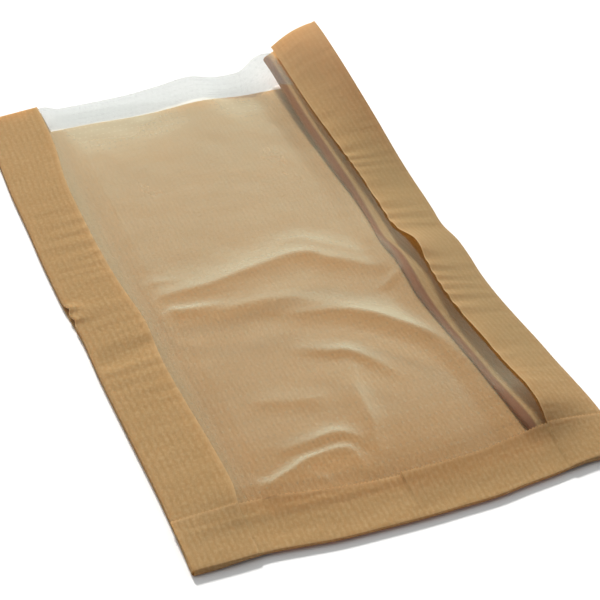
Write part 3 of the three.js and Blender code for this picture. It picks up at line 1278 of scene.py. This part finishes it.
@dataclass
class PaperBand:
    """The bottom of the web, folded up over the front. Its cut edge is finely toothed.

    edge_width is how much wider the band is than its even width, as (x, width). roundness is how far its
    fold bulges for its height, lowest how low it may lie as a share of the borders' height, and
    pattern_offset how far its own pattern lies from the web's.
    """

    bag: BagForm
    film: FilmForm
    column_width: float = 0.85
    fold_steps: int = 8
    row_steps: int = 16
    above_front: float = 0.4
    tooth: float = 0.35
    roundness: float = 0.9
    lowest: float = 0.8
    pattern_offset: float = 300.0
    rib_pitch: float = 2.75
    edge_width: tuple[Point, ...] = (
        (-105, 3.6), (-60, 2.6), (-30, -0.6), (-8, -2.0), (41, -2.2), (70, -0.4), (105, -0.6),
    )

    def front_height(self, x: float, y: float) -> float:
        """Height of the front's own surface under the band.

        Args:
            x: The place across the bag.
            y: The place along the bag.

        Returns:
            The height in millimetres.
        """
        left, right = self.bag.folds(Side.LEFT, y), self.bag.folds(Side.RIGHT, y)
        side, folds = (-1, left) if x < 0 else (1, right)
        edge, fold = self.bag.border_point(folds, 0.0), self.bag.border_point(folds, 1.0)
        if side * x < edge.x:
            return max(self.film.height(x, y, left, right, wrinkled=False), self.lowest * edge.y)
        return lerp(edge.y, fold.y, clamp((side * x - edge.x) / (fold.x - edge.x)))

    def relief(self, x: float, beyond: float) -> float:
        """How far the band stands out of its smooth form.

        Args:
            x: The place across the bag.
            beyond: The distance from the bottom edge.

        Returns:
            The rise in millimetres.
        """
        soft = 0.45 * wander(x / 34.0, beyond / 40.0, 11.0)
        ripple = 0.10 * wander(x / 6.0, beyond / 30.0, 12.0)
        crease_place = lerp(20.0, 21.5, clamp((x + 90.0) / 100.0))
        crease = 0.35 * bell((beyond - crease_place) / 1.1) * bell((x + 40.0) / 60.0)
        return (soft + ripple) * smooth(beyond / 8.0) + crease

    def spot(self, index: int, count: int, row: int) -> Spot:
        """What one vertex of the band carries.

        Args:
            index: Its column.
            count: The number of the last column.
            row: Its row, from the start of the bottom fold.

        Returns:
            Its place and marks.
        """
        bag = self.bag
        start = bag.turn_start
        left = bag.section(bag.folds(Side.LEFT, start), Panel.BACK_FOLD, 1.0).x
        right = bag.section(bag.folds(Side.RIGHT, start), Panel.BACK_FOLD, 1.0).x
        x = lerp(-left, right, index / count)
        last = self.fold_steps + self.row_steps
        if row <= self.fold_steps:
            angle = math.pi * row / self.fold_steps
            low = bag.back_z + bag.bottom_rise(x, start)
            turn = (self.front_height(x, start) + self.above_front - low) / 2
            beyond = -turn * math.sin(angle) * self.roundness
            z = low + turn * (1 - math.cos(angle))
        else:
            reach = bag.band_width + along(self.edge_width, x)
            if row == last:
                reach += self.tooth * (1 if index % 2 else -1)
            beyond = reach * (row - self.fold_steps) / self.row_steps
            raised = self.relief(x, beyond) * smooth(beyond / 3.0)
            z = self.front_height(x, start + beyond) + self.above_front + raised
        y = start + beyond
        flat = (x + self.pattern_offset, start - max(beyond, 0.0))
        place = Vector((x, y + bag.bow(x, y), z))
        return Spot(place, flat, x / self.rib_pitch, 1.0 if row == last else 0.0)

    def build(self, sheet: SheetMesh) -> None:
        """Bends the band round the bottom fold and lays it on the front.

        Args:
            sheet: The mesh that it becomes a part of.
        """
        count = round(self.bag.width / self.column_width)
        rows = self.fold_steps + self.row_steps
        sheet.lay([[self.spot(i, count, row) for i in range(count, -1, -1)] for row in range(rows + 1)])


@dataclass
class PaperBody:
    """All of the bag's paper: one web with its bottom folded up."""

    web: PaperWeb
    band: PaperBand
    thickness: float = 0.14

    def dress(self, material: bpy.types.Material) -> bpy.types.Object:
        """Builds the piece with its finish and places it on the frame.

        Args:
            material: The finish.

        Returns:
            The piece.
        """
        sheet = SheetMesh("bag_paper")
        self.web.build(sheet)
        self.band.build(sheet)
        piece = sheet.finish(self.thickness, material)
        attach(piece, "root")
        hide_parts("paper_body")
        return piece


@dataclass
class WindowFilm:
    """The clear strip between the borders, tucked under both of them.

    lip_from is where its hazy lip starts, as (x, y), and mouth_cut how far its cut edge lies below the
    borders', as (place across, distance).
    """

    web: PaperWeb
    film: FilmForm
    thickness: float = 0.05
    span_steps: int = 104
    tuck_steps: int = 4
    lip_from: tuple[Point, ...] = (
        (-80, 158.0), (-45, 160.0), (-17, 158.0), (20, 159.5), (45, 155.0), (62, 149.0), (74, 144.0),
    )
    lip_to: float = 74.0
    lip_ramp: float = 2.0
    lip_side_ramp: float = 3.0
    calm_width: float = 7.0
    calm_ramp: float = 3.0
    calm_at_bottom: float = 0.4
    mouth_cut: tuple[Point, ...] = ((-80, 1.0), (-72, 0.0), (60, 0.0), (69, 4.0), (80, 5.0))

    def build(self, sheet: SheetMesh) -> None:
        """Lays the film between the borders, on the same rows as the paper.

        Args:
            sheet: The mesh that it is laid in.
        """
        bag = self.web.bag
        rows = self.web.rows
        count = self.span_steps + 2 * self.tuck_steps
        spots = []
        for row in range(1, rows + 1):
            line = []
            for i in range(count + 1):
                cut = along(self.mouth_cut, lerp(-80.0, 80.0, i / count))
                y = lerp(bag.turn_start, bag.mouth - cut, row / rows)
                left, right = self.web.folds_at(y)
                point = self.spot(i, y, left, right)
                place = Vector((point.x, y + bag.bow(point.x, y), point.y))
                calm = self.calm(point.x - right.inner.x, y)
                line.append(Spot(place, (point.x, y), edge_mask=self.lip(point.x, y), shade=calm))
            spots.append(line)
        sheet.lay(spots)

    def lip(self, x: float, y: float) -> float:
        """How much of the lip's haze a place has, from 0 to 1."""
        above = smooth((y - along(self.lip_from, x)) / self.lip_ramp)
        return above * smooth((self.lip_to - x) / self.lip_side_ramp)

    def calm(self, beyond_fold: float, y: float) -> float:
        """How much of the veil is gone over the right gusset, from 0 to 1."""
        over = smooth((beyond_fold + self.calm_width) / self.calm_ramp)
        return over * lerp(self.calm_at_bottom, 1.0, smooth((y + 130.0) / 70.0))

    def spot(self, index: int, y: float, left: Folds, right: Folds) -> Vector:
        """The place of one column of the film.

        Args:
            index: Its number, from the left.
            y: The place along the bag.
            left: The left folds there.
            right: The right folds there.

        Returns:
            The place as (x, z).
        """
        bag, below = self.web.bag, -self.film.below
        last = self.span_steps + self.tuck_steps
        if index < self.tuck_steps:
            point = bag.border_point(left, (self.tuck_steps - index) / self.web.border_steps, below)
            return Vector((-point.x, point.y))
        if index > last:
            return bag.border_point(right, (index - last) / self.web.border_steps, below)
        start, end = bag.border_point(left, 0.0, below), bag.border_point(right, 0.0, below)
        x = lerp(-start.x, end.x, (index - self.tuck_steps) / self.span_steps)
        return Vector((x, self.film.height(x, y, left, right)))

    def dress(self, material: bpy.types.Material) -> bpy.types.Object:
        """Builds the piece with its finish and places it on the frame.

        Args:
            material: The finish.

        Returns:
            The piece.
        """
        sheet = SheetMesh("bag_window")
        self.build(sheet)
        piece = sheet.finish(self.thickness, material)
        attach(piece, "root")
        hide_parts("window_film")
        return piece


# ---- The studio ----


@dataclass(frozen=True)
class Lamp:
    """A round lamp that is aimed at the bag from far away."""

    name: str
    direction: tuple[float, float, float]
    power: float
    size: float
    distance: float = 6.0
    colour: tuple[float, float, float] = (1.0, 0.985, 0.96)

    def build(self) -> None:
        """Hangs the lamp."""
        data = bpy.data.lights.new(self.name, "AREA")
        data.shape = "DISK"
        data.size = self.size
        data.energy = self.power
        data.color = self.colour
        toward = Vector(self.direction).normalized()
        lamp = bpy.data.objects.new(self.name, data)
        lamp.location = toward * self.distance
        lamp.rotation_mode = "QUATERNION"
        lamp.rotation_quaternion = (-toward).to_track_quat("-Z", "Y")
        lamp.visible_glossy = False
        bpy.context.scene.collection.objects.link(lamp)


@dataclass
class Studio:
    """The camera, a white table, a pale room, a low lamp behind the bag and a weak one to its right."""

    target: Vector = field(default_factory=lambda: Vector((7.4, -26.2, 0.0)) * MM)
    distance: float = 0.8542
    azimuth: float = -23.62
    elevation: float = 38.05
    roll: float = 2.28
    lens: float = 102.0
    sensor: float = 36.0
    behind: tuple[float, float, float] = (0.82, 0.84, 0.83)
    overhead: tuple[float, float, float] = (0.29, 0.29, 0.29)
    in_front: tuple[float, float, float] = (0.17, 0.165, 0.17)
    low_gain: float = 1.25
    table_size: float = 6.0
    table_tone: float = 0.93
    lamps: tuple[Lamp, ...] = (
        Lamp("key_light", (0.15, 1.85, 1.0), 595.0, 0.8),
        Lamp("side_light", (1.3, 0.35, 1.0), 40.0, 2.5),
    )

    def camera(self) -> None:
        """Places the camera at the photograph's viewing angle."""
        data = bpy.data.cameras.new("camera")
        data.lens = self.lens
        data.sensor_width = self.sensor
        data.clip_start = 0.01
        data.clip_end = 50.0
        around, up = math.radians(self.azimuth), math.radians(self.elevation)
        back = Vector((math.sin(around) * math.cos(up), -math.cos(around) * math.cos(up), math.sin(up)))
        camera = bpy.data.objects.new("camera", data)
        turn = (-back).to_track_quat("-Z", "Y").to_matrix().to_4x4()
        leaned = turn @ Matrix.Rotation(math.radians(self.roll), 4, "Z")
        camera.matrix_world = Matrix.Translation(self.target + back * self.distance) @ leaned
        bpy.context.scene.collection.objects.link(camera)
        bpy.context.scene.camera = camera

    def floor(self) -> None:
        """Makes the white table."""
        mesh = bmesh.new()
        bmesh.ops.create_grid(mesh, x_segments=1, y_segments=1, size=self.table_size)
        data = bpy.data.meshes.new("table")
        mesh.to_mesh(data)
        mesh.free()
        table = bpy.data.objects.new("table", data)
        bpy.context.scene.collection.objects.link(table)
        material = bpy.data.materials.new("white_table")
        material.use_nodes = True
        skin = material.node_tree.nodes["Principled BSDF"]
        skin.inputs["Base Color"].default_value = (self.table_tone, self.table_tone, self.table_tone, 1)
        skin.inputs["Roughness"].default_value = 0.9
        skin.inputs["Specular IOR Level"].default_value = 0.0
        data.materials.append(material)

    def world(self) -> None:
        """Makes a pale room, brightest low behind the bag and dim in front."""
        world = bpy.data.worlds.new("pale_room")
        world.use_nodes = True
        world.node_tree.nodes.clear()
        s = Shader(world.node_tree)
        toward = s.node("ShaderNodeTexCoord").outputs["Generated"]
        parts = s.node("ShaderNodeSeparateXYZ", in_0=toward)
        tone = s.mix(s.ramp(parts.outputs[2], 0.62, 0.95), self.behind, self.overhead)
        tone = s.mix(s.ramp(parts.outputs[1], 0.0, -0.35), tone, self.in_front)
        low = s.ramp(parts.outputs[2], 0.5, 0.15, 1.0, self.low_gain)
        light = s.node("ShaderNodeBackground", in_0=tone, in_1=low)
        out = s.node("ShaderNodeOutputWorld")
        s.feed(out.inputs["Surface"], light.outputs[0])
        bpy.context.scene.world = world

    def build(self) -> None:
        """Sets up the table, the lights, the room and the camera."""
        self.camera()
        self.floor()
        for lamp in self.lamps:
            lamp.build()
        self.world()
        bpy.context.scene.view_settings.view_transform = "Standard"
        log.info("studio ready")


def main() -> None:
    """Builds the bag and its studio."""
    logging.basicConfig(level=logging.INFO, format="%(name)s: %(message)s")
    low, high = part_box("paper_body")
    bag = BagForm(width=(high.x - low.x) / MM, length=(high.y - low.y) / MM)
    web, film = PaperWeb(bag), FilmForm(bag)
    Studio().build()
    PaperBody(web, PaperBand(bag, film)).dress(KraftFinish().build())
    WindowFilm(web, film).dress(FilmFinish().build())


if __name__ == "__main__":
    main()
